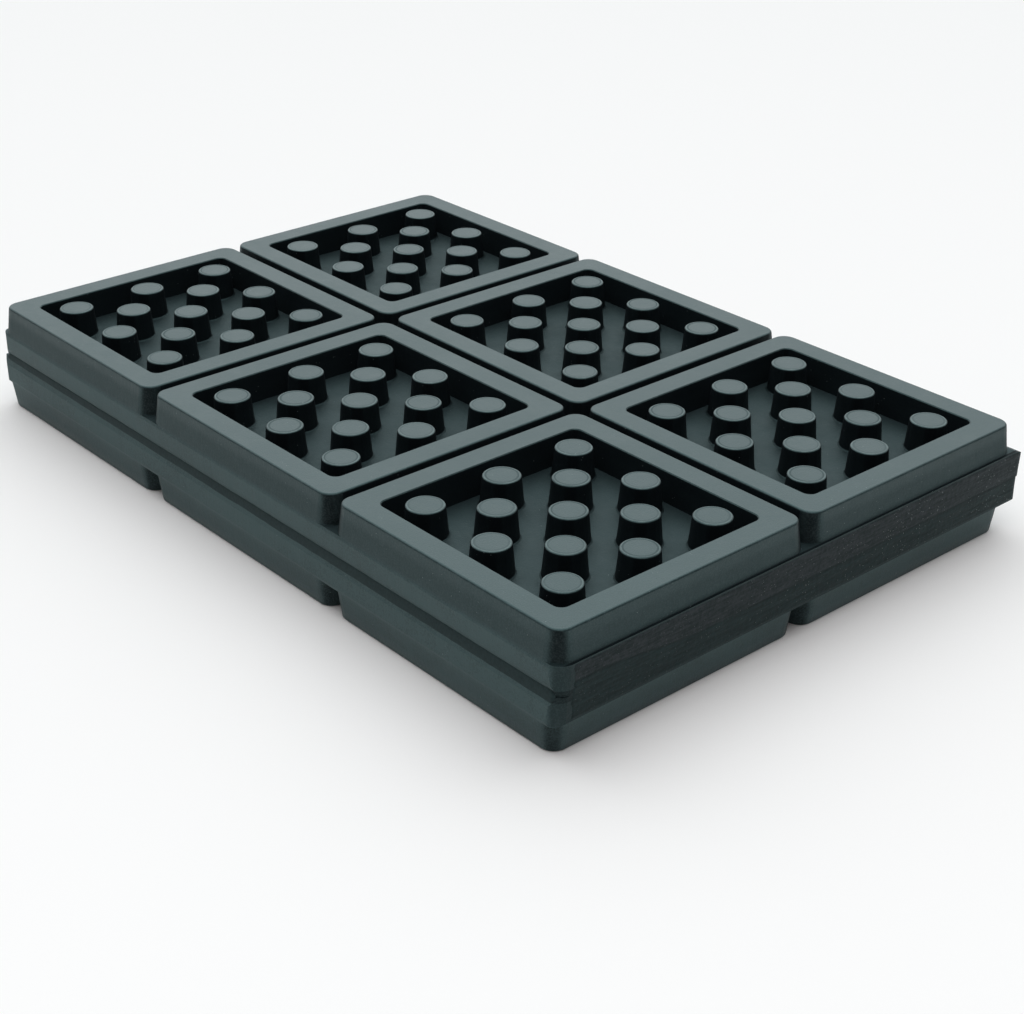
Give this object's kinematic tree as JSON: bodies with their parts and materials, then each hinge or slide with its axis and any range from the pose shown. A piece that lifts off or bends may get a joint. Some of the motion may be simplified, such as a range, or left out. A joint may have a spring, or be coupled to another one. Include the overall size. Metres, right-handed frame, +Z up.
{
  "type": "anti-vibration machine pad",
  "caption": "Rectangular rubber isolation pad: two moulded plates bonded back to back, each with a grid of raised cells full of short round studs.",
  "frame": {"origin": "middle of the pad's underside, where it stands on the floor", "axes": "+Z up through the thickness, +X along the long side towards the cut end, +Y across the pad"},
  "size_m": [0.1508, 0.1014, 0.0193],
  "materials": {
    "rubber": "moulded rubber, satin, near black with a green-grey cast, rough and torn on the end that was cut"
  },
  "bodies": {
    "root": {"upper_plate": "rubber", "lower_plate": "rubber"}
  },
  "joints": []
}
